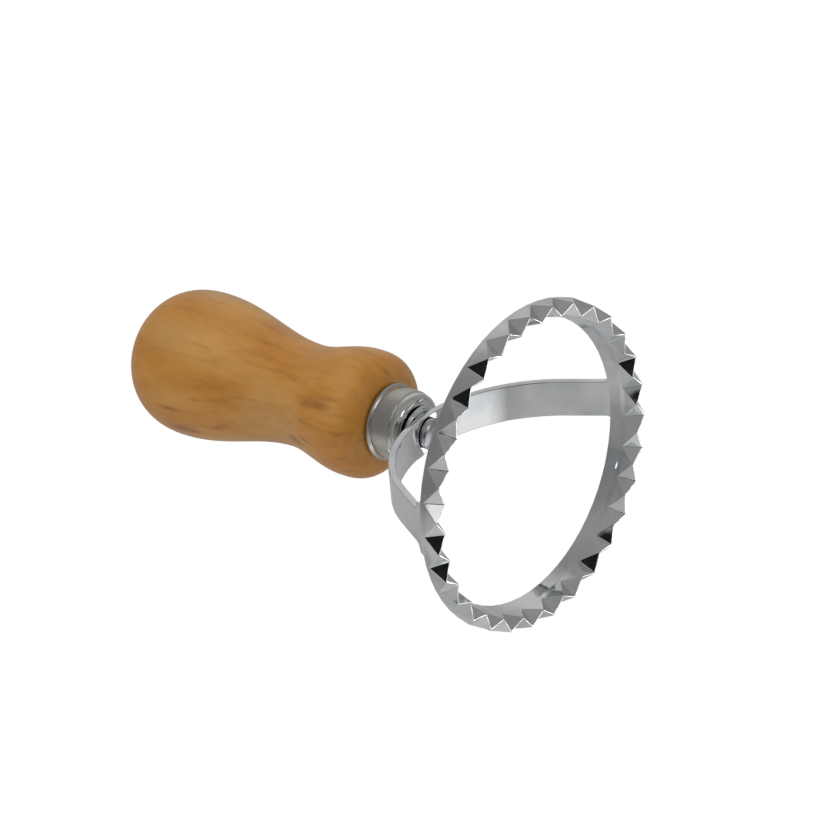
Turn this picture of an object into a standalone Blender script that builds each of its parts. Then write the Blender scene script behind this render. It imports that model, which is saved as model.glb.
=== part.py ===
"""Round pasta stamp: a toothed ring on an arched bow, screwed to a turned wooden handle.

Metres, +Z up. The tooth edge lies on z = 0 and the handle's axis is the Z axis.
The bow stands in the XZ plane.
"""

import math

import bmesh
import bpy

MM = 0.001

# The whole stamp
overall_length = 105.0 * MM
ring_radius = 35.0 * MM
touching_gap = 0.3 * MM          # between two pieces that meet

# Toothed ring
tooth_count = 30
ring_wall = 3.6 * MM             # thickness behind the teeth
ring_height = 6.1 * MM
back_inner_inset = 4.6 * MM      # the inner wall narrows towards the back
outer_notch_depth = 3.0 * MM     # how far each outer notch climbs the outer wall
inner_notch_depth = 3.0 * MM     # how far each inner notch climbs the inner wall
outer_tip_inset = 0.5 * MM       # the outer tips lean in from the wall
inner_tip_inset = 0.25 * MM      # the inner tips lean out from the wall
edge_land = 0.35 * MM            # flat width of the cutting edge
back_corner_inset = 0.3 * MM     # the outer wall leans in towards the back
back_slope_height = 2.1 * MM     # broad slope from the outer wall to the back edge
back_slope_width = 3.4 * MM      # from the ring's full radius

# Bow
bow_height = 31.1 * MM           # top of the arch
bow_thickness = 1.5 * MM
bow_width = 8.0 * MM
bow_leg_angle = math.radians(60)  # from the ring's plane; the arch is tangent to both legs
bow_root_inset = 3.3 * MM        # from the ring's full radius to the middle of a leg, at the back edge
bow_root_fillet = 1.8 * MM
bow_root_depth = 2.6 * MM        # how far the legs run into the ring
arch_steps = 20
fillet_steps = 4

# Neck
neck_radius = 3.9 * MM
neck_height = 1.2 * MM
neck_bead_radius = 5.3 * MM
neck_bead_tube = 0.45 * MM
neck_bead_lift = 0.15 * MM       # bead's lowest point above the bow

# Screw
screw_length = 32.0 * MM         # under the head
screw_radius = 2.0 * MM
screw_tip_length = 4.0 * MM
screw_head_radius = 3.4 * MM
screw_head_height = 1.9 * MM
screw_recess_width = 0.9 * MM
screw_recess_length = 3.6 * MM
screw_recess_depth = 1.1 * MM
screw_clearance = 0.3 * MM
seat_clearance = 0.35 * MM       # around the screw head
seat_depth = 0.15 * MM           # the screw's seat, cut into the underside of the arch

# Ferrule
ferrule_radius = 7.7 * MM
ferrule_wall = 0.5 * MM
ferrule_length = 7.4 * MM
ferrule_floor = 0.9 * MM
ferrule_nose = 1.4 * MM          # radius of the rounded front corner
ferrule_lip_radius = 8.2 * MM
ferrule_lip_height = 0.9 * MM
ferrule_groove_depth = 0.25 * MM
ferrule_groove_width = 0.5 * MM

# Handle
tenon_clearance = 0.3 * MM
shoulder_overhang = 0.3 * MM     # wood beyond the ferrule's lip
front_bulb_radius = 13.6 * MM
front_bulb_place = 7.1 * MM      # from the shoulder
front_bluntness = 3.1            # 2 is a round front, more is a squarer one
waist_radius = 11.0 * MM
waist_place = 21.6 * MM
butt_bulb_radius = 15.6 * MM
butt_bulb_place = 49.6 * MM
butt_bluntness = 2.3
bore_spare_depth = 2.0 * MM      # beyond the screw's tip
handle_rings = 9                 # turned rings between two stations

round_segments = 40

# Places along the axis, worked out from the sizes above
bow_underside = bow_height - bow_thickness
neck_top = bow_height + neck_height
ferrule_front = neck_top + touching_gap
ferrule_back = ferrule_front + ferrule_length
shoulder = ferrule_back + touching_gap
tenon_front = ferrule_front + ferrule_floor + touching_gap
tenon_radius = ferrule_radius - ferrule_wall - tenon_clearance
shoulder_radius = ferrule_lip_radius + shoulder_overhang
hole_radius = screw_radius + screw_clearance
screw_seat = bow_underside + seat_depth
screw_bearing = screw_seat - touching_gap
screw_tip = screw_bearing + screw_length
bore_end = screw_tip + bore_spare_depth
ring_inner_radius = ring_radius - ring_wall
bow_middle = bow_height - bow_thickness / 2
bow_root_radius = ring_radius - bow_root_inset
bow_arch_radius = ((bow_root_radius - (bow_middle - ring_height) / math.tan(bow_leg_angle))
                   / math.tan(bow_leg_angle / 2))


def clear_scene():
    for item in list(bpy.data.objects):
        bpy.data.objects.remove(item, do_unlink=True)


def make_material(name, colour, metallic, roughness):
    material = bpy.data.materials.new(name)
    material.use_nodes = True
    shader = material.node_tree.nodes["Principled BSDF"]
    shader.inputs["Base Color"].default_value = (*colour, 1.0)
    shader.inputs["Metallic"].default_value = metallic
    shader.inputs["Roughness"].default_value = roughness
    return material


def mesh_object(name, build, material=None):
    mesh = bpy.data.meshes.new(name)
    shape = bmesh.new()
    build(shape)
    bmesh.ops.recalc_face_normals(shape, faces=shape.faces)
    shape.to_mesh(mesh)
    shape.free()
    item = bpy.data.objects.new(name, mesh)
    bpy.context.scene.collection.objects.link(item)
    if material is not None:
        mesh.materials.append(material)
    return item


def cutter_object(name, build):
    item = mesh_object(name, build)
    item.hide_render = True
    item.display_type = "WIRE"
    return item


def smooth_round(item, angle=35):
    item.data.shade_smooth()
    item.data.set_sharp_from_angle(angle=math.radians(angle))


def add_boolean(item, other, operation):
    modifier = item.modifiers.new(f"{operation.lower()} {other.name}", "BOOLEAN")
    modifier.operation = operation
    modifier.object = other
    modifier.solver = "EXACT"


def turned(profile, segments=round_segments):
    """A closed solid turned about Z. A profile point on the axis closes the solid there."""
    def build(shape):
        rings = []
        for radius, height in profile:
            if radius == 0:
                rings.append([shape.verts.new((0, 0, height))])
                continue
            rings.append([
                shape.verts.new((
                    radius * math.cos(math.tau * step / segments),
                    radius * math.sin(math.tau * step / segments),
                    height,
                ))
                for step in range(segments)
            ])
        closed = profile[0][0] != 0 or profile[-1][0] != 0
        pairs = list(zip(rings, rings[1:]))
        if closed:
            pairs.append((rings[-1], rings[0]))
        for low, high in pairs:
            for step in range(segments):
                after = (step + 1) % segments
                corners = [low[step % len(low)], low[after % len(low)],
                           high[after % len(high)], high[step % len(high)]]
                shape.faces.new(list(dict.fromkeys(corners)))
    return build


def arc(centre, radius, start, end, steps):
    """Points (radius, height) on a circular arc, angles in degrees from the outward direction."""
    points = []
    for step in range(steps + 1):
        angle = math.radians(start + (end - start) * step / steps)
        points.append((centre[0] + radius * math.cos(angle), centre[1] + radius * math.sin(angle)))
    return points


def toothed_ring(shape):
    """Outer and inner notches alternate, which leaves a zigzag cutting edge on z = 0."""
    outer_tip = ring_radius - outer_tip_inset
    inner_tip = ring_inner_radius + inner_tip_inset
    back_corner = ring_height - back_slope_height
    sections = []
    for step in range(2 * tooth_count):
        angle = math.pi * step / tooth_count
        outer_notch = step % 2 == 0
        if outer_notch:
            edge = [(ring_radius, outer_notch_depth), (inner_tip + edge_land, 0), (inner_tip, 0)]
        else:
            edge = [(outer_tip, 0), (outer_tip - edge_land, 0), (ring_inner_radius, inner_notch_depth)]
        back = [(ring_radius - back_inner_inset, ring_height),
                (ring_radius - back_slope_width, ring_height),
                (ring_radius - back_corner_inset, back_corner)]
        sections.append([
            shape.verts.new((radius * math.cos(angle), radius * math.sin(angle), height))
            for radius, height in edge + back
        ])
    for step, here in enumerate(sections):
        there = sections[(step + 1) % len(sections)]
        notch, tip = (here, there) if step % 2 == 0 else (there, here)
        shape.faces.new((notch[0], notch[1], tip[0]))                 # outer notch
        shape.faces.new((notch[1], notch[2], tip[1], tip[0]))         # cutting edge
        shape.faces.new((notch[2], tip[2], tip[1]))                   # inner notch
        shape.faces.new((notch[2], tip[2], tip[3], notch[3]))         # inner wall
        shape.faces.new((notch[3], tip[3], tip[4], notch[4]))         # back edge
        shape.faces.new((notch[4], tip[4], tip[5], notch[5]))         # back slope
        shape.faces.new((notch[5], tip[5], tip[0], notch[0]))         # outer wall
    bmesh.ops.triangulate(shape, faces=shape.faces)                   # the walls lean, so they aren't flat


def bow_stations():
    """Half of the strap, from the root in the ring to the top: (x, z, angle, half width)."""
    arch_centre = bow_middle - bow_arch_radius
    arch_end = math.pi / 2 - bow_leg_angle
    end_x = bow_arch_radius * math.cos(arch_end)
    end_z = arch_centre + bow_arch_radius * math.sin(arch_end)
    along_x, along_z = math.cos(bow_leg_angle), math.sin(bow_leg_angle)
    leg_length = (end_z - ring_height) / along_z
    half = bow_width / 2
    distances = [-bow_root_depth / along_z]
    distances += [bow_root_fillet * (1 - math.cos(math.pi / 2 * step / fillet_steps))
                  for step in range(fillet_steps + 1)]
    distances.append(leg_length * 0.6)
    stations = []
    for distance in distances:
        rest = bow_root_fillet - min(max(distance, 0), bow_root_fillet)
        flare = bow_root_fillet - math.sqrt(bow_root_fillet ** 2 - rest ** 2)
        stations.append((end_x + (leg_length - distance) * along_x,
                         end_z - (leg_length - distance) * along_z, arch_end, half + flare))
    for step in range(arch_steps // 2 + 1):
        angle = arch_end + (math.pi / 2 - arch_end) * step / (arch_steps // 2)
        stations.append((bow_arch_radius * math.cos(angle),
                         arch_centre + bow_arch_radius * math.sin(angle), angle, half))
    return stations


def bow_strap(shape):
    right = bow_stations()
    left = [(-x, z, math.pi - angle, half) for x, z, angle, half in reversed(right[:-1])]
    rings = []
    for x, z, angle, half in right + left:
        out_x = math.cos(angle) * bow_thickness / 2
        out_z = math.sin(angle) * bow_thickness / 2
        rings.append([shape.verts.new(corner) for corner in (
            (x + out_x, -half, z + out_z), (x + out_x, half, z + out_z),
            (x - out_x, half, z - out_z), (x - out_x, -half, z - out_z))])
    for here, there in zip(rings, rings[1:]):
        for side in range(4):
            after = (side + 1) % 4
            shape.faces.new((here[side], here[after], there[after], there[side]))
    shape.faces.new(rings[0])
    shape.faces.new(list(reversed(rings[-1])))


def neck_profile():
    bead_centre = bow_height + neck_bead_lift + neck_bead_tube
    bead = arc((neck_bead_radius - neck_bead_tube, bead_centre), neck_bead_tube, -90, 90, 8)
    root = bow_height - bow_thickness / 2
    return ([(0, root), (neck_radius, root), (neck_radius, bead[0][1])] + bead
            + [(neck_radius, bead[-1][1]), (neck_radius, neck_top), (0, neck_top)])


def build_cutter_head(chrome):
    head = mesh_object("cutter_head", toothed_ring, chrome)
    bow = cutter_object("bow guide", bow_strap)
    neck = cutter_object("neck guide", turned(neck_profile()))
    hole = cutter_object("screw hole guide", turned([
        (0, bow_underside - bow_thickness), (hole_radius, bow_underside - bow_thickness),
        (hole_radius, neck_top + bow_thickness), (0, neck_top + bow_thickness)]))
    seat_radius = screw_head_radius + seat_clearance
    seat = cutter_object("screw seat guide", turned([
        (0, bow_underside - screw_head_height), (seat_radius, bow_underside - screw_head_height),
        (seat_radius, screw_seat), (0, screw_seat)]))
    add_boolean(head, bow, "UNION")
    add_boolean(head, neck, "UNION")
    add_boolean(head, hole, "DIFFERENCE")
    add_boolean(head, seat, "DIFFERENCE")
    smooth_round(head, 24)
    return head


def build_ferrule(chrome):
    inner_radius = ferrule_radius - ferrule_wall
    inner_floor = ferrule_front + ferrule_floor
    nose_centre = (ferrule_radius - ferrule_groove_depth - ferrule_nose, ferrule_front + ferrule_nose)
    groove = nose_centre[1] + ferrule_groove_width
    lip_tube = ferrule_lip_height / 2
    profile = [(hole_radius, inner_floor), (hole_radius, ferrule_front)]
    profile += arc(nose_centre, ferrule_nose, -90, 0, 6)
    profile += [(ferrule_radius - ferrule_groove_depth, groove),
                (ferrule_radius, groove + ferrule_groove_depth),
                (ferrule_radius, ferrule_back - ferrule_lip_height)]
    profile += arc((ferrule_lip_radius - lip_tube, ferrule_back - lip_tube), lip_tube, -70, 90, 6)
    profile += [(inner_radius, ferrule_back), (inner_radius, inner_floor)]
    ferrule = mesh_object("ferrule", turned(profile), chrome)
    smooth_round(ferrule)
    return ferrule


def eased(start, end, part):
    """Cosine blend between two radii."""
    return start + (end - start) * (1 - math.cos(math.pi * part)) / 2


def handle_profile():
    front_power = (shoulder_radius / front_bulb_radius) ** front_bluntness
    front_reach = front_bulb_place / (1 - front_power) ** (1 / front_bluntness)
    butt_reach = overall_length - shoulder - butt_bulb_place
    outline = [(0, bore_end), (hole_radius, bore_end), (hole_radius, tenon_front),
               (tenon_radius, tenon_front), (tenon_radius, shoulder)]
    for step in range(handle_rings):
        rise = front_bulb_place * step / handle_rings
        share = (front_bulb_place - rise) / front_reach
        outline.append((front_bulb_radius * (1 - share ** front_bluntness) ** (1 / front_bluntness),
                        shoulder + rise))
    for start, end, low, high in (
            (front_bulb_radius, waist_radius, front_bulb_place, waist_place),
            (waist_radius, butt_bulb_radius, waist_place, butt_bulb_place)):
        for step in range(handle_rings):
            part = step / handle_rings
            outline.append((eased(start, end, part), shoulder + low + (high - low) * part))
    for step in range(handle_rings):
        angle = math.pi / 2 * step / handle_rings
        outline.append((butt_bulb_radius * math.cos(angle) ** (2 / butt_bluntness),
                        shoulder + butt_bulb_place + butt_reach * math.sin(angle) ** (2 / butt_bluntness)))
    return outline + [(0, overall_length)]


def build_handle(wood):
    handle = mesh_object("handle", turned(handle_profile()), wood)
    smooth_round(handle)
    return handle


def build_screw(steel):
    dome_steps = 5
    profile = [(0, screw_bearing - screw_head_height)]
    for step in range(1, dome_steps + 1):
        angle = math.pi / 2 * step / dome_steps
        profile.append((screw_head_radius * math.sin(angle),
                        screw_bearing - screw_head_height * (0.35 + 0.65 * math.cos(angle))))
    profile += [(screw_head_radius, screw_bearing), (screw_radius, screw_bearing),
                (screw_radius, screw_tip - screw_tip_length), (0, screw_tip)]
    screw = mesh_object("fixing_screw", turned(profile, 24), steel)
    recess_top = screw_bearing - screw_head_height + screw_recess_depth
    recess_bottom = screw_bearing - 2 * screw_head_height
    for name, length_x, length_y in (
            ("recess along guide", screw_recess_length, screw_recess_width),
            ("recess across guide", screw_recess_width, screw_recess_length)):
        slot = cutter_object(name, lambda shape: bmesh.ops.create_cube(shape, size=1))
        slot.scale = (length_x, length_y, recess_top - recess_bottom)
        slot.location.z = (recess_top + recess_bottom) / 2
        add_boolean(screw, slot, "DIFFERENCE")
    smooth_round(screw)
    return screw


def main():
    clear_scene()
    chrome = make_material("chrome_plate", (0.72, 0.73, 0.74), 1.0, 0.08)
    satin = make_material("satin_chrome", (0.62, 0.62, 0.61), 1.0, 0.22)
    steel = make_material("zinc_steel", (0.55, 0.56, 0.57), 1.0, 0.3)
    wood = make_material("lacquered_beech", (0.56, 0.31, 0.11), 0.0, 0.35)
    build_cutter_head(chrome)
    build_ferrule(satin)
    build_handle(wood)
    build_screw(steel)


main()
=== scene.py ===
import math
import random

import bpy
from mathutils import Matrix, Vector


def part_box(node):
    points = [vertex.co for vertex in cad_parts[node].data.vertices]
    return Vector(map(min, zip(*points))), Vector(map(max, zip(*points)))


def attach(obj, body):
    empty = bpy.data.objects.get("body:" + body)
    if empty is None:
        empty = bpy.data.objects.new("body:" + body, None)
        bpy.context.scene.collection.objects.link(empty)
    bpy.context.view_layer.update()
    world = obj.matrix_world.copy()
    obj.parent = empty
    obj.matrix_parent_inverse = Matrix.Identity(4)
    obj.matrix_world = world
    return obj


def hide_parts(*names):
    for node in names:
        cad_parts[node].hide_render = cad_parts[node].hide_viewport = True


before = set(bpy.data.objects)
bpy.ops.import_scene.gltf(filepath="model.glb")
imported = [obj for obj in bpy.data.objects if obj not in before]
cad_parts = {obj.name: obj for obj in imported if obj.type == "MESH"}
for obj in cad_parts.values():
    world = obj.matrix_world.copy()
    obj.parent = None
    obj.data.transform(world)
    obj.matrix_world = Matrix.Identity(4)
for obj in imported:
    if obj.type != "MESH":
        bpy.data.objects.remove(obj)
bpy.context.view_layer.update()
bpy.context.preferences.edit.use_global_undo = False
mm = 0.001
sameSize = 1e-6     # two radii closer than this share are the same

# heights along the handle, taken from the frame
headLow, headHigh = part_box("cutter_head")
ferruleLow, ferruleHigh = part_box("ferrule")
handleLow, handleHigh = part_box("handle")
screwLow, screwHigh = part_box("fixing_screw")
ringRadius = headHigh.x
neckTop = headHigh.z
ferruleFront = ferruleLow.z
ferruleBack = ferruleHigh.z
handleEnd = handleHigh.z
screwBottom = screwLow.z
screwTip = screwHigh.z


def deselect():
    if bpy.context.mode != "OBJECT":
        bpy.ops.object.mode_set(mode="OBJECT")
    bpy.ops.object.select_all(action="DESELECT")


def pick(obj):
    deselect()
    obj.select_set(True)
    bpy.context.view_layer.objects.active = obj
    return obj


def named(name):
    obj = bpy.context.object
    obj.name = name
    obj.data.name = name
    return obj


def settle(obj):
    pick(obj)
    bpy.ops.object.transform_apply(location=True, rotation=True, scale=True)
    return obj


def addModifier(obj, kind, **values):
    pick(obj)
    modifier = obj.modifiers.new(kind.lower(), kind)
    for key, value in values.items():
        setattr(modifier, key, value)
    bpy.ops.object.modifier_apply(modifier=modifier.name)


def cut(obj, other, operation="DIFFERENCE"):
    addModifier(obj, "BOOLEAN", operation=operation, object=other, solver="EXACT")
    bpy.data.objects.remove(other, do_unlink=True)
    return obj


def smooth(obj, angle):
    pick(obj)
    bpy.ops.object.shade_smooth_by_angle(angle=math.radians(angle))


def facesOut(obj):
    pick(obj)
    bpy.ops.object.mode_set(mode="EDIT")
    bpy.ops.mesh.select_all(action="SELECT")
    bpy.ops.mesh.normals_make_consistent(inside=False)
    bpy.ops.object.mode_set(mode="OBJECT")


def extrudeLoop(rise):
    bpy.ops.mesh.extrude_edges_move(TRANSFORM_OT_translate={"value": (0, 0, rise)})


def lathe(name, outline, steps):
    # outline is a list of (radius, height); a radius of 0 closes the piece on its axis
    deselect()
    startsAtPole = outline[0][0] == 0
    endsAtPole = outline[-1][0] == 0
    radius, height = outline[1] if startsAtPole else outline[0]
    bpy.ops.mesh.primitive_circle_add(vertices=steps, radius=radius, location=(0, 0, height))
    obj = named(name)
    settle(obj)
    bpy.ops.object.mode_set(mode="EDIT")
    bpy.ops.mesh.select_mode(type="EDGE")
    bpy.ops.mesh.select_all(action="SELECT")
    if startsAtPole:
        low = outline[0][1]
        extrudeLoop(low - height)
        bpy.ops.mesh.merge(type="CENTER")
        bpy.ops.mesh.select_all(action="SELECT")
        bpy.ops.mesh.select_non_manifold(extend=False)
    body = outline[(2 if startsAtPole else 1):(-1 if endsAtPole else None)]
    for nextRadius, nextHeight in body:
        extrudeLoop(nextHeight - height)
        grow = nextRadius / radius
        if abs(grow - 1) > sameSize:
            bpy.ops.transform.resize(value=(grow, grow, 1), center_override=(0, 0, nextHeight))
        radius, height = nextRadius, nextHeight
    if endsAtPole:
        extrudeLoop(outline[-1][1] - height)
        bpy.ops.mesh.merge(type="CENTER")
    elif not startsAtPole:
        bpy.ops.mesh.select_all(action="SELECT")
        bpy.ops.mesh.select_non_manifold(extend=False)
        bpy.ops.mesh.bridge_edge_loops()
    bpy.ops.object.mode_set(mode="OBJECT")
    facesOut(obj)
    return obj


def arcPoints(centre, radius, start, end, steps):
    points = []
    for step in range(steps + 1):
        angle = math.radians(start + (end - start) * step / steps)
        points.append((centre[0] + radius * math.cos(angle),
                       centre[1] + radius * math.sin(angle)))
    return points


def ease(a, b, part):
    return a + (b - a) * (1 - math.cos(math.pi * part)) / 2


cameraSet = {
    "aim": (-1.35 * mm, 1.5 * mm, 32.95 * mm),
    "distance": 1232 * mm,
    "azimuth": 35.1,        # from +X towards +Y
    "elevation": -35.6,     # the camera looks up at the tooth edge
    "roll": -72.9,
    "lens": 256.7,
    "farthest": 20,
}


def makeCamera():
    azimuth = math.radians(cameraSet["azimuth"])
    elevation = math.radians(cameraSet["elevation"])
    back = Vector((math.cos(elevation) * math.cos(azimuth),
                   math.cos(elevation) * math.sin(azimuth), math.sin(elevation)))
    side = Vector((0, 0, 1)).cross(back).normalized()
    up = back.cross(side)
    roll = Matrix.Rotation(math.radians(cameraSet["roll"]), 3, "Z")
    turn = Matrix((side, up, back)).transposed() @ roll
    data = bpy.data.cameras.new("camera")
    data.lens = cameraSet["lens"]
    data.clip_end = cameraSet["farthest"]
    camera = bpy.data.objects.new("camera", data)
    place = Matrix.Translation(Vector(cameraSet["aim"]) + back * cameraSet["distance"])
    camera.matrix_world = place @ turn.to_4x4()
    bpy.context.scene.collection.objects.link(camera)
    bpy.context.scene.camera = camera
    return turn


# plain display colours keep a white background white
bpy.context.scene.view_settings.view_transform = "Standard"
cameraTurn = makeCamera()
print("camera placed")


def newMaterial(name):
    material = bpy.data.materials.new(name)
    material.use_nodes = True
    tree = material.node_tree
    return material, tree, tree.nodes["Principled BSDF"]


def node(tree, kind, **values):
    made = tree.nodes.new(kind)
    for key, value in values.items():
        if key in made.inputs.keys():
            made.inputs[key].default_value = value
        else:
            setattr(made, key, value)
    return made


def objectNoise(tree, scale, detail=3.0, stretch=(1, 1, 1), roughness=0.5):
    place = node(tree, "ShaderNodeTexCoord")
    turn = node(tree, "ShaderNodeMapping")
    turn.inputs["Scale"].default_value = stretch
    noise = node(tree, "ShaderNodeTexNoise", Scale=scale, Detail=detail, Roughness=roughness)
    tree.links.new(place.outputs["Object"], turn.inputs["Vector"])
    tree.links.new(turn.outputs["Vector"], noise.inputs["Vector"])
    return noise.outputs["Fac"]


def ramp(tree, source, stops):
    made = tree.nodes.new("ShaderNodeValToRGB")
    while len(made.color_ramp.elements) < len(stops):
        made.color_ramp.elements.new(0.5)
    for element, (place, colour) in zip(made.color_ramp.elements, stops):
        element.position = place
        element.color = (*colour, 1) if len(colour) == 3 else colour
    tree.links.new(source, made.inputs["Fac"])
    return made.outputs["Color"]


def mapRange(tree, source, low, high, fromLow=0.0, fromHigh=1.0):
    made = node(tree, "ShaderNodeMapRange")
    made.inputs["From Min"].default_value = fromLow
    made.inputs["From Max"].default_value = fromHigh
    made.inputs["To Min"].default_value = low
    made.inputs["To Max"].default_value = high
    tree.links.new(source, made.inputs["Value"])
    return made.outputs["Result"]


def mixColour(tree, blend, amount, first, second):
    # the colour mix has its factor, first and second colour at inputs 0, 6 and 7
    made = node(tree, "ShaderNodeMix", data_type="RGBA", blend_type=blend)
    for place, value in ((0, amount), (6, first), (7, second)):
        socket = made.inputs[place]
        if isinstance(value, bpy.types.NodeSocket):
            tree.links.new(value, socket)
        else:
            socket.default_value = value
    return made.outputs[2]


def bumps(tree, shader, layers):
    # layers is a list of (height socket, strength, distance), chained one on the next
    normal = None
    for height, strength, distance in layers:
        bump = node(tree, "ShaderNodeBump", Strength=strength, Distance=distance)
        tree.links.new(height, bump.inputs["Height"])
        if normal is not None:
            tree.links.new(normal, bump.inputs["Normal"])
        normal = bump.outputs["Normal"]
    tree.links.new(normal, shader.inputs["Normal"])


chromeLook = {
    "bright": (0.80, 0.815, 0.82),
    "dull": (0.66, 0.68, 0.69),
    "cloudScale": 120,
    "hazeScale": 420,
    "noseBright": (0.78, 0.77, 0.74),
    "noseDull": (0.66, 0.65, 0.62),
    "roughLow": 0.03,
    "roughHigh": 0.10,
    "waveScale": 190,
    "waveDepth": 0.00012,
    "toothLow": 2.6 * mm,
    "toothHigh": 3.6 * mm,
    "rippleScale": 260,
    "rippleDepth": 0.00016,
    "pitScale": 2600,
    "pitDepth": 0.000006,
}


def polishedChrome(name, bright, dull):
    look = chromeLook
    material, tree, shader = newMaterial(name)
    shader.inputs["Metallic"].default_value = 1.0
    cloud = objectNoise(tree, look["cloudScale"], 4)
    tree.links.new(ramp(tree, cloud, [(0.35, dull), (0.6, bright)]), shader.inputs["Base Color"])
    haze = objectNoise(tree, look["hazeScale"], 5)
    tree.links.new(mapRange(tree, haze, look["roughLow"], look["roughHigh"], 0.35, 0.75),
                   shader.inputs["Roughness"])
    # the teeth are wavier than the rest
    place = node(tree, "ShaderNodeSeparateXYZ")
    tree.links.new(node(tree, "ShaderNodeTexCoord").outputs["Object"], place.inputs["Vector"])
    teeth = mapRange(tree, place.outputs["Z"], 1.0, 0.0, look["toothLow"], look["toothHigh"])
    ripple = node(tree, "ShaderNodeMath", operation="MULTIPLY")
    tree.links.new(teeth, ripple.inputs[0])
    tree.links.new(objectNoise(tree, look["rippleScale"], 0), ripple.inputs[1])
    bumps(tree, shader, [
        (objectNoise(tree, look["waveScale"], 1), 0.6, look["waveDepth"]),
        (ripple.outputs["Value"], 1.0, look["rippleDepth"]),
        (objectNoise(tree, look["pitScale"], 2), 0.5, look["pitDepth"])])
    return material


ferruleLook = {
    "light": (0.60, 0.58, 0.54),
    "dark": (0.54, 0.52, 0.48),
    "roughLow": 0.20,
    "roughHigh": 0.27,
    "grain": 0.35,
    "cloudScale": 160,
    "drawScale": 500,
    "drawStretch": (0.12, 0.12, 4),
    "drawDepth": 0.000008,
}


def satinChrome():
    look = ferruleLook
    material, tree, shader = newMaterial("satinChrome")
    shader.inputs["Metallic"].default_value = 1.0
    shader.inputs["Anisotropic"].default_value = look["grain"]
    cloud = objectNoise(tree, look["cloudScale"], 3)
    tree.links.new(ramp(tree, cloud, [(0.3, look["dark"]), (0.7, look["light"])]),
                   shader.inputs["Base Color"])
    # faint rings left by drawing the cup
    rings = objectNoise(tree, look["drawScale"], 2, look["drawStretch"])
    tree.links.new(mapRange(tree, rings, look["roughLow"], look["roughHigh"], 0.3, 0.7),
                   shader.inputs["Roughness"])
    bumps(tree, shader, [(rings, 0.12, look["drawDepth"])])
    return material


steelLook = {
    "light": (0.62, 0.63, 0.64),
    "dark": (0.45, 0.46, 0.48),
    "roughLow": 0.14,
    "roughHigh": 0.32,
    "cloudScale": 700,
    "cloudDepth": 0.00002,
}


def zincSteel():
    look = steelLook
    material, tree, shader = newMaterial("zincSteel")
    shader.inputs["Metallic"].default_value = 1.0
    cloud = objectNoise(tree, look["cloudScale"], 4)
    tree.links.new(ramp(tree, cloud, [(0.35, look["dark"]), (0.65, look["light"])]),
                   shader.inputs["Base Color"])
    tree.links.new(mapRange(tree, cloud, look["roughHigh"], look["roughLow"], 0.3, 0.7),
                   shader.inputs["Roughness"])
    bumps(tree, shader, [(cloud, 0.3, look["cloudDepth"])])
    return material


woodLook = {
    "honey": (0.385, 0.170, 0.026),
    "pale": (0.44, 0.225, 0.055),
    "amber": (0.35, 0.135, 0.014),
    "fleck": (0.20, 0.075, 0.015),
    "grey": (0.34, 0.21, 0.080),
    "shade": (0.74, 0.62, 0.50),
    "roughLow": 0.34,
    "roughHigh": 0.46,
    "coat": 0.2,
    "coatRough": 0.22,
    "specular": 0.3,
    # scale of each pattern, and how it is stretched along X, Y and Z
    "patches": (75, (1, 1, 0.55)),
    "mist": (48, (1.3, 1.3, 0.8)),
    "grain": (620, (1, 1, 0.07)),
    "flecks": (300, (1, 1, 0.22)),
    # how strong each pattern is: weakest and strongest share, and where in the noise they lie
    "mistShare": (0.0, 0.55, 0.54, 0.72),
    "grainShare": (0.0, 0.5, 0.48, 0.72),
    "fleckShare": (0.0, 0.75, 0.63, 0.76),
    "grainDepth": 0.00006,
    "fleckDepth": 0.0001,
}


def lacqueredBeech():
    look = woodLook
    material, tree, shader = newMaterial("lacqueredBeech")
    # broad colour patches, longer than they are wide
    scale, stretch = look["patches"]
    patches = objectNoise(tree, scale, 3, stretch, 0.55)
    stops = [(0.30, look["amber"]), (0.47, look["honey"]), (0.66, look["pale"])]
    colour = ramp(tree, patches, stops)
    scale, stretch = look["mist"]
    mist = objectNoise(tree, scale, 2, stretch)
    mistFace = mapRange(tree, mist, *look["mistShare"])
    colour = mixColour(tree, "MIX", mistFace, colour, (*look["grey"], 1))
    # fine lengthwise grain
    scale, stretch = look["grain"]
    grain = objectNoise(tree, scale, 4, stretch, 0.6)
    grainFace = mapRange(tree, grain, *look["grainShare"])
    colour = mixColour(tree, "MULTIPLY", grainFace, colour, (*look["shade"], 1))
    # short dark flecks of the beech
    scale, stretch = look["flecks"]
    fleck = objectNoise(tree, scale, 2, stretch, 0.45)
    fleckFace = mapRange(tree, fleck, *look["fleckShare"])
    colour = mixColour(tree, "MIX", fleckFace, colour, (*look["fleck"], 1))
    tree.links.new(colour, shader.inputs["Base Color"])
    tree.links.new(mapRange(tree, patches, look["roughLow"], look["roughHigh"], 0.3, 0.7),
                   shader.inputs["Roughness"])
    shader.inputs["Coat Weight"].default_value = look["coat"]
    shader.inputs["Coat Roughness"].default_value = look["coatRough"]
    shader.inputs["Specular IOR Level"].default_value = look["specular"]
    bumps(tree, shader, [(grain, 0.25, look["grainDepth"]), (fleck, 0.15, look["fleckDepth"])])
    return material


chrome = polishedChrome("polishedChrome", chromeLook["bright"], chromeLook["dull"])
noseChrome = polishedChrome("noseChrome", chromeLook["noseBright"], chromeLook["noseDull"])
satin = satinChrome()
steel = zincSteel()
wood = lacqueredBeech()
print("materials made")


def finishPiece(obj, material, slot, *nodes):
    obj.data.materials.clear()
    obj.data.materials.append(material)
    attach(obj, "root")
    if nodes:
        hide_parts(*nodes)
    print("made", obj.name, len(obj.data.polygons), "faces")


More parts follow.
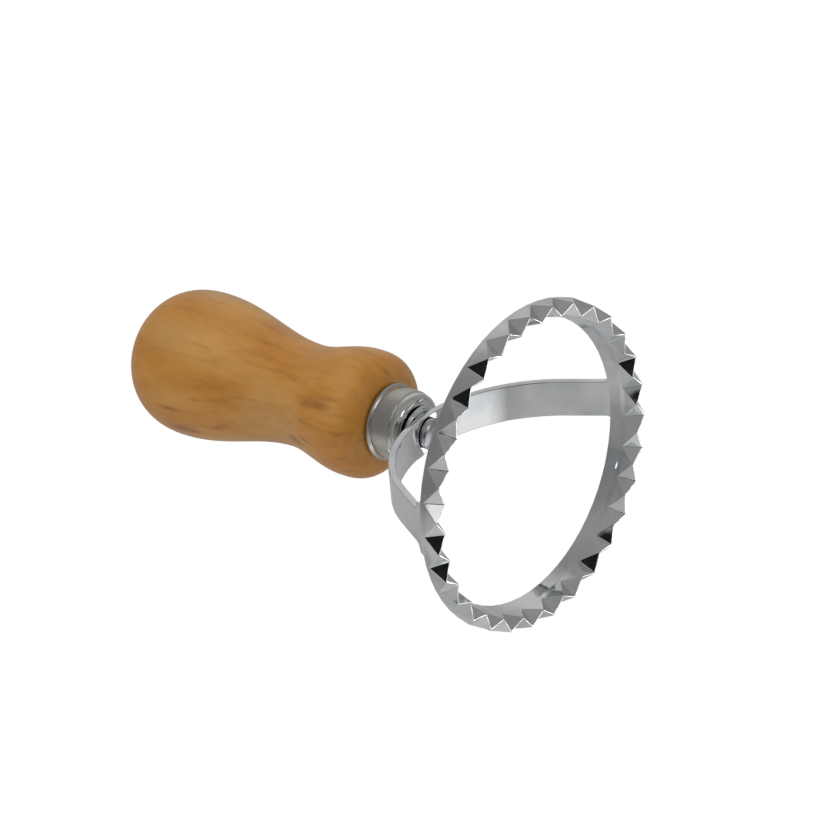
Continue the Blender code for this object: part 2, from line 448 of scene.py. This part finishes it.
ringSet = {
    "teeth": 30,
    "wall": 3.6 * mm,
    "height": 6.1 * mm,
    "backInner": 4.6 * mm,
    "outerNotch": 3.0 * mm,
    "innerNotch": 3.0 * mm,
    "outerTipInset": 0.5 * mm,
    "innerTipInset": 0.25 * mm,
    "land": 0.28 * mm,
    "cornerInset": 0.3 * mm,
    "backDrop": 2.1 * mm,
    "backWidth": 3.4 * mm,
    "backBulge": 0.15 * mm,
    "edgeRound": 0.28 * mm,
    "wobble": 0.10 * mm,    # how far a cast corner strays
    "wobbleSpread": 1.2,    # round the ring
    "wobbleTip": 0.3,       # share of it upwards at the cutting edge
    "seed": 7,
    "edgeSteps": 3,
    "edgeAngle": 22,        # edges sharper than this are rounded
    "standOff": 0.01 * mm,  # the lowest corner, so that the rounded edges end at 0
    "backSteps": 4,
}


def ringLoops():
    # (place at a tip, place at a notch) of each loop; where both are the same, the loop is plain
    s = ringSet
    inner = ringRadius - s["wall"]
    outerTip = ringRadius - s["outerTipInset"]
    innerTip = inner + s["innerTipInset"]
    plain = [(ringRadius - s["backInner"], s["height"])]
    for step in range(s["backSteps"] + 1):
        part = step / s["backSteps"]
        swell = s["backBulge"] * math.sin(math.pi * part)
        inset = s["backWidth"] + (s["cornerInset"] - s["backWidth"]) * part
        plain.append((ringRadius - inset + swell, s["height"] - s["backDrop"] * part))
    return [(p, p) for p in plain] + [
        ((outerTip, 0), (ringRadius, s["outerNotch"])),
        ((outerTip - s["land"], 0), (innerTip + s["land"], 0)),
        ((inner, s["innerNotch"]), (innerTip, 0))]


def cuttingRing():
    # one loop of corners after another, from the back's inner corner round to the inner wall
    deselect()
    places = [tip for tip, notch in ringLoops()]
    radius, height = places[0]
    bpy.ops.mesh.primitive_circle_add(vertices=2 * ringSet["teeth"], radius=radius,
                                      location=(0, 0, height))
    ring = named("toothedRing")
    settle(ring)
    bpy.ops.object.mode_set(mode="EDIT")
    bpy.ops.mesh.select_mode(type="VERT")
    bpy.ops.mesh.select_all(action="SELECT")
    for nextRadius, nextHeight in places[1:]:
        extrudeLoop(nextHeight - height)
        grow = nextRadius / radius
        bpy.ops.transform.resize(value=(grow, grow, 1), center_override=(0, 0, nextHeight))
        radius, height = nextRadius, nextHeight
    bpy.ops.object.mode_set(mode="OBJECT")
    return ring


def placeRingCorners(ring):
    # tips and notches alternate, and the toothed corners stray a little
    loops = ringLoops()
    chance = random.Random(ringSet["seed"])
    count = 2 * ringSet["teeth"]
    step = math.pi / ringSet["teeth"]
    spread, tipShare = ringSet["wobbleSpread"], ringSet["wobbleTip"]
    for v in ring.data.vertices:
        loop = loops[v.index // count]
        angle = math.atan2(v.co.y, v.co.x)
        turn = round(angle / step)
        radius, height = loop[1] if turn % 2 == 0 else loop[0]
        angle = turn * step
        if loop[0] != loop[1]:
            radius -= ringSet["wobble"] * chance.random()
            angle += ringSet["wobble"] / ringRadius * chance.uniform(-spread, spread)
            height += ringSet["wobble"] * chance.random() * (1 if height > 0 else tipShare)
        height = max(height, ringSet["standOff"])
        v.co = (radius * math.cos(angle), radius * math.sin(angle), height)


def closeRing(ring):
    pick(ring)
    bpy.ops.object.mode_set(mode="EDIT")
    bpy.ops.mesh.select_mode(type="EDGE")
    bpy.ops.mesh.select_all(action="SELECT")
    bpy.ops.mesh.select_non_manifold(extend=False)
    bpy.ops.mesh.bridge_edge_loops()
    bpy.ops.object.mode_set(mode="OBJECT")
    facesOut(ring)
    addModifier(ring, "BEVEL", width=ringSet["edgeRound"], segments=ringSet["edgeSteps"],
                limit_method="ANGLE", angle_limit=math.radians(ringSet["edgeAngle"]),
                miter_outer="MITER_SHARP", use_clamp_overlap=True)


ring = cuttingRing()
placeRingCorners(ring)
closeRing(ring)
print("ring made")


bowSet = {
    "top": 31.1 * mm,
    "thickness": 1.5 * mm,
    "width": 8.0 * mm,
    "legAngle": 60,
    "rootInset": 3.3 * mm,
    "fillet": 1.8 * mm,
    "sunk": 2.4 * mm,
    "arcSteps": 48,
    "filletSteps": 6,
    "edgeRound": 0.22 * mm,
    "edgeSteps": 3,
    "edgeAngle": 40,
}


def bowPlaces():
    s = bowSet
    leg = math.radians(s["legAngle"])
    middle = s["top"] - s["thickness"] / 2
    root = ringRadius - s["rootInset"]
    radius = (root - (middle - ringSet["height"]) / math.tan(leg)) / math.tan(leg / 2)
    centre = middle - radius
    legTop = Vector((radius * math.sin(leg), 0, centre + radius * math.cos(leg)))
    legLength = (legTop.z - ringSet["height"]) / math.sin(leg)
    return leg, centre, legTop, legLength


def makeBow():
    s = bowSet
    leg, centre, legTop, legLength = bowPlaces()
    down = Vector((math.cos(leg), 0, -math.sin(leg)))
    flares = []          # (distance above the root, half width), from the arch down
    for step in range(s["filletSteps"] + 1):
        rise = s["fillet"] * (1 - math.sin(math.pi / 2 * step / s["filletSteps"]))
        rest = s["fillet"] - rise
        flares.append((rise, s["width"] / 2 + s["fillet"] - math.sqrt(s["fillet"] ** 2 - rest ** 2)))
    flares.append((-s["sunk"] / math.sin(leg), s["width"] / 2 + s["fillet"]))
    deselect()
    bpy.ops.mesh.primitive_plane_add(size=1, location=legTop, rotation=(0, leg - math.pi / 2, 0))
    bow = named("bow")
    bow.scale = (s["thickness"], s["width"], 1)
    settle(bow)
    bpy.ops.object.mode_set(mode="EDIT")
    bpy.ops.mesh.select_mode(type="FACE")
    bpy.ops.mesh.select_all(action="SELECT")
    turn = math.radians(-2 * s["legAngle"]) / s["arcSteps"]
    for step in range(s["arcSteps"]):
        bpy.ops.mesh.extrude_region_move(TRANSFORM_OT_translate={"value": (0, 0, 0)})
        bpy.ops.transform.rotate(value=-turn, orient_axis="Y", center_override=(0, 0, centre))
    bpy.ops.object.mode_set(mode="OBJECT")
    return bow, flares, legTop, legLength, down


def growLegs(bow, flares, legTop, legLength, down):
    for side in (1, -1):
        top = Vector((legTop.x * side, 0, legTop.z))
        way = Vector((down.x * side, 0, down.z))
        pick(bow)
        bpy.ops.object.mode_set(mode="EDIT")
        bpy.ops.mesh.select_mode(type="FACE")
        bpy.ops.mesh.select_all(action="DESELECT")
        bpy.ops.object.mode_set(mode="OBJECT")
        face = min(bow.data.polygons, key=lambda f: (f.center - top).length)
        face.select = True
        bpy.ops.object.mode_set(mode="EDIT")
        done = 0.0
        half = bowSet["width"] / 2
        for rise, nextHalf in flares:
            reach = legLength - rise
            bpy.ops.mesh.extrude_region_move(
                TRANSFORM_OT_translate={"value": way * (reach - done)})
            bpy.ops.transform.resize(value=(1, nextHalf / half, 1),
                                     center_override=top + way * reach)
            done, half = reach, nextHalf
        bpy.ops.object.mode_set(mode="OBJECT")
    facesOut(bow)
    addModifier(bow, "BEVEL", width=bowSet["edgeRound"], segments=bowSet["edgeSteps"],
                limit_method="ANGLE", angle_limit=math.radians(bowSet["edgeAngle"]),
                use_clamp_overlap=True)


bow, flares, legTop, legLength, down = makeBow()
growLegs(bow, flares, legTop, legLength, down)
print("bow made")


neckSet = {
    "radius": 3.9 * mm,
    "beadRadius": 5.3 * mm,
    "beadTube": 0.45 * mm,
    "beadLift": 0.15 * mm,
    "hole": 2.3 * mm,
    "seat": 3.75 * mm,
    "seatDepth": 0.15 * mm,
    "overcut": 2.0 * mm,
    "sides": 96,
    "beadSteps": 12,
    "plugSides": 64,
    "sharpAngle": 26,
}


def makeNeck():
    s = neckSet
    bead = (s["beadRadius"] - s["beadTube"], bowSet["top"] + s["beadLift"] + s["beadTube"])
    outline = [(0, bowSet["top"] - bowSet["thickness"] / 2),
               (s["radius"], bowSet["top"] - bowSet["thickness"] / 2),
               (s["radius"], bead[1] - s["beadTube"])]
    outline += arcPoints(bead, s["beadTube"], -90, 90, s["beadSteps"])
    outline += [(s["radius"], bead[1] + s["beadTube"]), (s["radius"], neckTop), (0, neckTop)]
    return lathe("neck", outline, s["sides"])


def plug(name, radius, low, high):
    deselect()
    bpy.ops.mesh.primitive_cylinder_add(vertices=neckSet["plugSides"], radius=radius,
                                        depth=high - low, location=(0, 0, (low + high) / 2))
    return settle(named(name))


underArch = bowSet["top"] - bowSet["thickness"]
plugLow = underArch - neckSet["overcut"]
plugHigh = neckTop + neckSet["overcut"]
head = cut(ring, bow, "UNION")
cut(head, makeNeck(), "UNION")
cut(head, plug("screwHole", neckSet["hole"], plugLow, plugHigh))
cut(head, plug("screwSeat", neckSet["seat"], plugLow, underArch + neckSet["seatDepth"]))
head.name = "cutterHead"
smooth(head, neckSet["sharpAngle"])
addModifier(head, "WEIGHTED_NORMAL", keep_sharp=True, weight=60)
finishPiece(head, chrome, "chrome_plate", "cutter_head")


ferruleSet = {
    "radius": 7.7 * mm,
    "wall": 0.5 * mm,
    "floor": 0.9 * mm,
    "nose": 1.4 * mm,
    "lipRadius": 8.2 * mm,
    "lipHeight": 0.9 * mm,
    "groove": 0.25 * mm,
    "grooveWidth": 0.5 * mm,
    "grooveEdge": 0.1 * mm,
    "lipEdge": 0.12 * mm,
    "hole": 2.3 * mm,
    "noseSteps": 14,
    "grooveSteps": 5,
    "lipSteps": 12,
    "sides": 128,
    "sharpAngle": 32,
}


def makeFerrule():
    s = ferruleSet
    inside = s["radius"] - s["wall"]
    nose = (s["radius"] - s["groove"] - s["nose"], ferruleFront + s["nose"])
    grooveTop = nose[1] + s["grooveWidth"]
    tube = s["lipHeight"] / 2
    outline = [(s["hole"], ferruleFront + s["floor"]), (s["hole"], ferruleFront)]
    outline += arcPoints(nose, s["nose"], -90, 0, s["noseSteps"])
    outline += [(s["radius"] - s["groove"], grooveTop - s["grooveEdge"])]
    outline += arcPoints((s["radius"] - s["groove"], grooveTop + s["groove"]),
                         s["groove"], -70, 0, s["grooveSteps"])
    outline += [(s["radius"], ferruleBack - s["lipHeight"] - s["lipEdge"])]
    outline += arcPoints((s["lipRadius"] - tube, ferruleBack - tube), tube, -75, 90, s["lipSteps"])
    outline += [(inside, ferruleBack), (inside, ferruleFront + s["floor"])]
    ferrule = lathe("ferruleCup", outline, s["sides"])
    smooth(ferrule, s["sharpAngle"])
    return ferrule, grooveTop


ferrule, grooveTop = makeFerrule()
finishPiece(ferrule, satin, "satin_chrome", "ferrule")
ferrule.data.materials.append(noseChrome)
# the rounded front is polished
for face in ferrule.data.polygons:
    if face.center.z < grooveTop:
        face.material_index = 1


handleSet = {
    "shoulderGap": 0.3 * mm,
    "overhang": 0.3 * mm,
    "frontRadius": 13.6 * mm,
    "frontPlace": 7.1 * mm,
    "frontBlunt": 3.1,
    "frontCrowding": 1.6,   # rings lie closer together near the shoulder
    "waistRadius": 11.0 * mm,
    "waistPlace": 21.6 * mm,
    "buttRadius": 15.6 * mm,
    "buttPlace": 49.6 * mm,
    "buttBlunt": 2.3,
    "boreRadius": 2.3 * mm,
    "boreSpare": 2.0 * mm,
    "boreCone": 1.0 * mm,
    "rings": 18,
    "lipRound": 0.25 * mm,
    "sides": 128,
    "sharpAngle": 35,
}


def makeHandle():
    s = handleSet
    shoulder = ferruleBack + s["shoulderGap"]
    shoulderRadius = ferruleSet["lipRadius"] + s["overhang"]
    power = (shoulderRadius / s["frontRadius"]) ** s["frontBlunt"]
    reach = s["frontPlace"] / (1 - power) ** (1 / s["frontBlunt"])
    tenonFront = ferruleFront + ferruleSet["floor"] + s["shoulderGap"]
    tenonRadius = ferruleSet["radius"] - ferruleSet["wall"] - s["shoulderGap"]
    boreEnd = screwTip + s["boreSpare"]
    outline = [(0, boreEnd), (s["boreRadius"], boreEnd - s["boreCone"]),
               (s["boreRadius"], tenonFront), (tenonRadius - s["lipRound"], tenonFront),
               (tenonRadius, tenonFront + s["lipRound"]),
               (tenonRadius, shoulder)]
    for step in range(s["rings"]):
        rise = s["frontPlace"] * (step / s["rings"]) ** s["frontCrowding"]
        share = (s["frontPlace"] - rise) / reach
        swell = (1 - share ** s["frontBlunt"]) ** (1 / s["frontBlunt"])
        outline.append((s["frontRadius"] * swell, shoulder + rise))
    for start, end, low, high in (
            (s["frontRadius"], s["waistRadius"], s["frontPlace"], s["waistPlace"]),
            (s["waistRadius"], s["buttRadius"], s["waistPlace"], s["buttPlace"])):
        for step in range(s["rings"]):
            part = step / s["rings"]
            outline.append((ease(start, end, part), shoulder + low + (high - low) * part))
    buttReach = handleEnd - shoulder - s["buttPlace"]
    buttPower = 2 / s["buttBlunt"]
    for step in range(2 * s["rings"]):
        angle = math.pi / 2 * step / (2 * s["rings"])
        outline.append((s["buttRadius"] * math.cos(angle) ** buttPower,
                        shoulder + s["buttPlace"] + buttReach * math.sin(angle) ** buttPower))
    outline.append((0, handleEnd))
    handle = lathe("turnedHandle", outline, s["sides"])
    smooth(handle, s["sharpAngle"])
    return handle


finishPiece(makeHandle(), wood, "lacquered_beech", "handle")


screwSet = {
    "radius": 2.0 * mm,
    "core": 1.55 * mm,
    "tip": 4.0 * mm,
    "headRadius": 3.4 * mm,
    "headHeight": 1.9 * mm,
    "slotWidth": 0.9 * mm,
    "slotLength": 3.6 * mm,
    "slotDepth": 1.1 * mm,
    "pitch": 1.4 * mm,
    "plainShank": 9.0 * mm,
    "domeSteps": 10,
    "domeShare": 0.65,      # the dome's part of the head's height
    "edge": 0.15 * mm,
    "shankStep": 0.5 * mm,
    "slotTaper": 0.7,
    "threadRadius": 0.44 * mm,
    "threadStart": 0.6 * mm,
    "threadSteps": 24,
    "sides": 64,
    "sharpAngle": 35,
    "threadSharpAngle": 30,
}


def crossSlot(length, width):
    s = screwSet
    deselect()
    bottom = screwBottom - s["headHeight"]
    top = screwBottom + s["slotDepth"]
    bpy.ops.mesh.primitive_cube_add(size=1, location=(0, 0, (bottom + top) / 2))
    slot = named("slot")
    slot.scale = (length, width, top - bottom)
    settle(slot)
    bpy.ops.object.mode_set(mode="EDIT")
    bpy.ops.mesh.select_all(action="DESELECT")
    bpy.ops.object.mode_set(mode="OBJECT")
    for face in slot.data.polygons:
        face.select = face.normal.z > 0.9
    bpy.ops.object.mode_set(mode="EDIT")
    bpy.ops.transform.resize(value=(s["slotTaper"], s["slotTaper"], 1), center_override=(0, 0, top))
    bpy.ops.object.mode_set(mode="OBJECT")
    return slot


def makeScrew():
    s = screwSet
    under = screwBottom + s["headHeight"]
    outline = [(0, screwBottom)]
    for step in range(1, s["domeSteps"] + 1):
        angle = math.pi / 2 * step / s["domeSteps"]
        part = 1 - s["domeShare"] + s["domeShare"] * math.cos(angle)
        outline.append((s["headRadius"] * math.sin(angle), under - s["headHeight"] * part))
    outline += [(s["headRadius"], under - s["edge"]), (s["headRadius"] - s["edge"], under),
                (s["radius"], under), (s["radius"], under + s["plainShank"]),
                (s["core"], under + s["plainShank"] + s["shankStep"]),
                (s["core"], screwTip - s["tip"]), (0, screwTip)]
    screw = lathe("woodScrew", outline, s["sides"])
    cut(screw, crossSlot(s["slotLength"], s["slotWidth"]))
    cut(screw, crossSlot(s["slotWidth"], s["slotLength"]))
    smooth(screw, s["sharpAngle"])
    return screw, under


def makeThread(under):
    s = screwSet
    low = under + s["plainShank"] + s["threadStart"]
    turns = int((screwTip - s["tip"] - low) / s["pitch"]) - 1
    deselect()
    bpy.ops.mesh.primitive_circle_add(vertices=4, radius=s["threadRadius"],
                                      location=(s["core"], 0, low), rotation=(math.pi / 2, 0, 0))
    thread = named("screwThread")
    settle(thread)
    addModifier(thread, "SCREW", axis="Z", screw_offset=s["pitch"], iterations=turns,
                steps=s["threadSteps"], render_steps=s["threadSteps"], use_merge_vertices=False)
    pick(thread)
    bpy.ops.object.mode_set(mode="EDIT")
    bpy.ops.mesh.select_mode(type="EDGE")
    bpy.ops.mesh.select_all(action="SELECT")
    bpy.ops.mesh.select_non_manifold(extend=False)
    bpy.ops.mesh.edge_face_add()
    bpy.ops.object.mode_set(mode="OBJECT")
    facesOut(thread)
    smooth(thread, s["threadSharpAngle"])
    return thread


screw, underHead = makeScrew()
finishPiece(screw, steel, "zinc_steel", "fixing_screw")
finishPiece(makeThread(underHead), steel, "zinc_steel")


stageSet = {
    "floorSize": 6.0,
    "floorPlace": -0.2 * mm,
    "floorColour": (0.86, 0.86, 0.85),
    "floorRough": 0.7,
    "background": 1.0,
}


def makeFloor():
    deselect()
    bpy.ops.mesh.primitive_plane_add(size=stageSet["floorSize"],
                                     location=(0, 0, stageSet["floorPlace"]))
    floor = named("floor")
    settle(floor)
    material, tree, shader = newMaterial("paleFloor")
    shader.inputs["Base Color"].default_value = (*stageSet["floorColour"], 1)
    shader.inputs["Roughness"].default_value = stageSet["floorRough"]
    # seen from below, the floor isn't there
    side = node(tree, "ShaderNodeNewGeometry")
    clear = node(tree, "ShaderNodeBsdfTransparent")
    mix = node(tree, "ShaderNodeMixShader")
    tree.links.new(side.outputs["Backfacing"], mix.inputs["Fac"])
    tree.links.new(shader.outputs["BSDF"], mix.inputs[1])
    tree.links.new(clear.outputs["BSDF"], mix.inputs[2])
    tree.links.new(mix.outputs["Shader"], tree.nodes["Material Output"].inputs["Surface"])
    floor.data.materials.append(material)
    floor.visible_glossy = False
    floor.visible_diffuse = False
    floor.visible_shadow = False


worldSet = {
    "base": 0.30,           # grey that reflections find all round
    "soft": 0.85,           # light that falls on matt surfaces
    "softColour": (1, 0.985, 0.96),
    "blue": 1.01,           # a touch more blue in what metal reflects
    "spots": [
        # (degrees right of the camera, degrees up, half angle, soft edge, brightness)
        (180, -12, 28, 35, 0.44),
        (180, 64, 12, 28, 0.56),
        (60, -84, 16, 26, 0.60),
        (-76, 8, 22, 22, 0.22),
        (-99, -42, 8, 16, 0.50),
        (60, 36, 28, 20, 0.30),
        (-14, -60, 10, 14, 0.46),
        (72, -38, 11, 14, 0.90),
        (109, -15, 6, 5, 3.2),
        (15, -24, 20, 4, 0.012),
        (2, -13, 6, 4, 0.012),
        (20, 5, 4, 2, 1.0),
        (49, 7, 5, 3, 3.2),
        (70, -66, 4, 3, 3.0),
    ],
}


def viewWay(right, up):
    # a direction given from the main camera's side
    across, rise = math.radians(right), math.radians(up)
    return cameraTurn @ Vector((math.sin(across) * math.cos(rise), math.sin(rise),
                                math.cos(across) * math.cos(rise)))


def facing(tree, place, way):
    dot = node(tree, "ShaderNodeVectorMath", operation="DOT_PRODUCT")
    dot.inputs[1].default_value = way
    tree.links.new(place, dot.inputs[0])
    return dot.outputs["Value"]


def makeWorld():
    look = worldSet
    world = bpy.data.worlds.new("studio")
    bpy.context.scene.world = world
    world.use_nodes = True
    tree = world.node_tree
    tree.nodes.clear()
    output = node(tree, "ShaderNodeOutputWorld")
    path = node(tree, "ShaderNodeLightPath")
    plain = node(tree, "ShaderNodeBackground", Strength=stageSet["background"])
    plain.inputs["Color"].default_value = (1, 1, 1, 1)
    soft = node(tree, "ShaderNodeBackground", Strength=look["soft"])
    soft.inputs["Color"].default_value = (*look["softColour"], 1)
    place = node(tree, "ShaderNodeTexCoord").outputs["Generated"]
    room = node(tree, "ShaderNodeBackground", Strength=1.0)
    tone = (look["base"],) * 3 + (1,)
    for right, up, reach, edge, bright in look["spots"]:
        dot = facing(tree, place, viewWay(right, up))
        inside = mapRange(tree, dot, 0, 1, math.cos(math.radians(reach + edge)),
                          math.cos(math.radians(reach)))
        tone = mixColour(tree, "MIX", inside, tone, (bright, bright, bright * look["blue"], 1))
    tree.links.new(tone, room.inputs["Color"])
    mix = node(tree, "ShaderNodeMixShader")
    tree.links.new(path.outputs["Is Glossy Ray"], mix.inputs["Fac"])
    tree.links.new(soft.outputs["Background"], mix.inputs[1])
    tree.links.new(room.outputs["Background"], mix.inputs[2])
    last = node(tree, "ShaderNodeMixShader")
    tree.links.new(path.outputs["Is Camera Ray"], last.inputs["Fac"])
    tree.links.new(mix.outputs["Shader"], last.inputs[1])
    tree.links.new(plain.outputs["Background"], last.inputs[2])
    tree.links.new(last.outputs["Shader"], output.inputs["Surface"])


lampSet = {
    # name: (right, up and towards the main camera in metres from the bow's top, size, watts)
    "topSoft": ((-0.25, 0.8, 0.45), 0.9, 2.5),
    "keySoft": ((-0.6, 0.3, 0.9), 0.6, 1.2),
}
lampAim = Vector((0, 0, 30 * mm))


def areaLight(name, place, size, power):
    way = cameraTurn @ Vector(place)
    data = bpy.data.lights.new(name, "AREA")
    data.energy = power
    data.size = size
    lamp = bpy.data.objects.new(name, data)
    lamp.location = lampAim + way
    lamp.rotation_euler = way.to_track_quat("Z", "Y").to_euler()
    # metal sees the room's tones only, so that no lamp shows in it
    lamp.visible_glossy = False
    bpy.context.scene.collection.objects.link(lamp)


makeFloor()
makeWorld()
for name, (place, size, power) in lampSet.items():
    areaLight(name, place, size, power)
print("stage made")
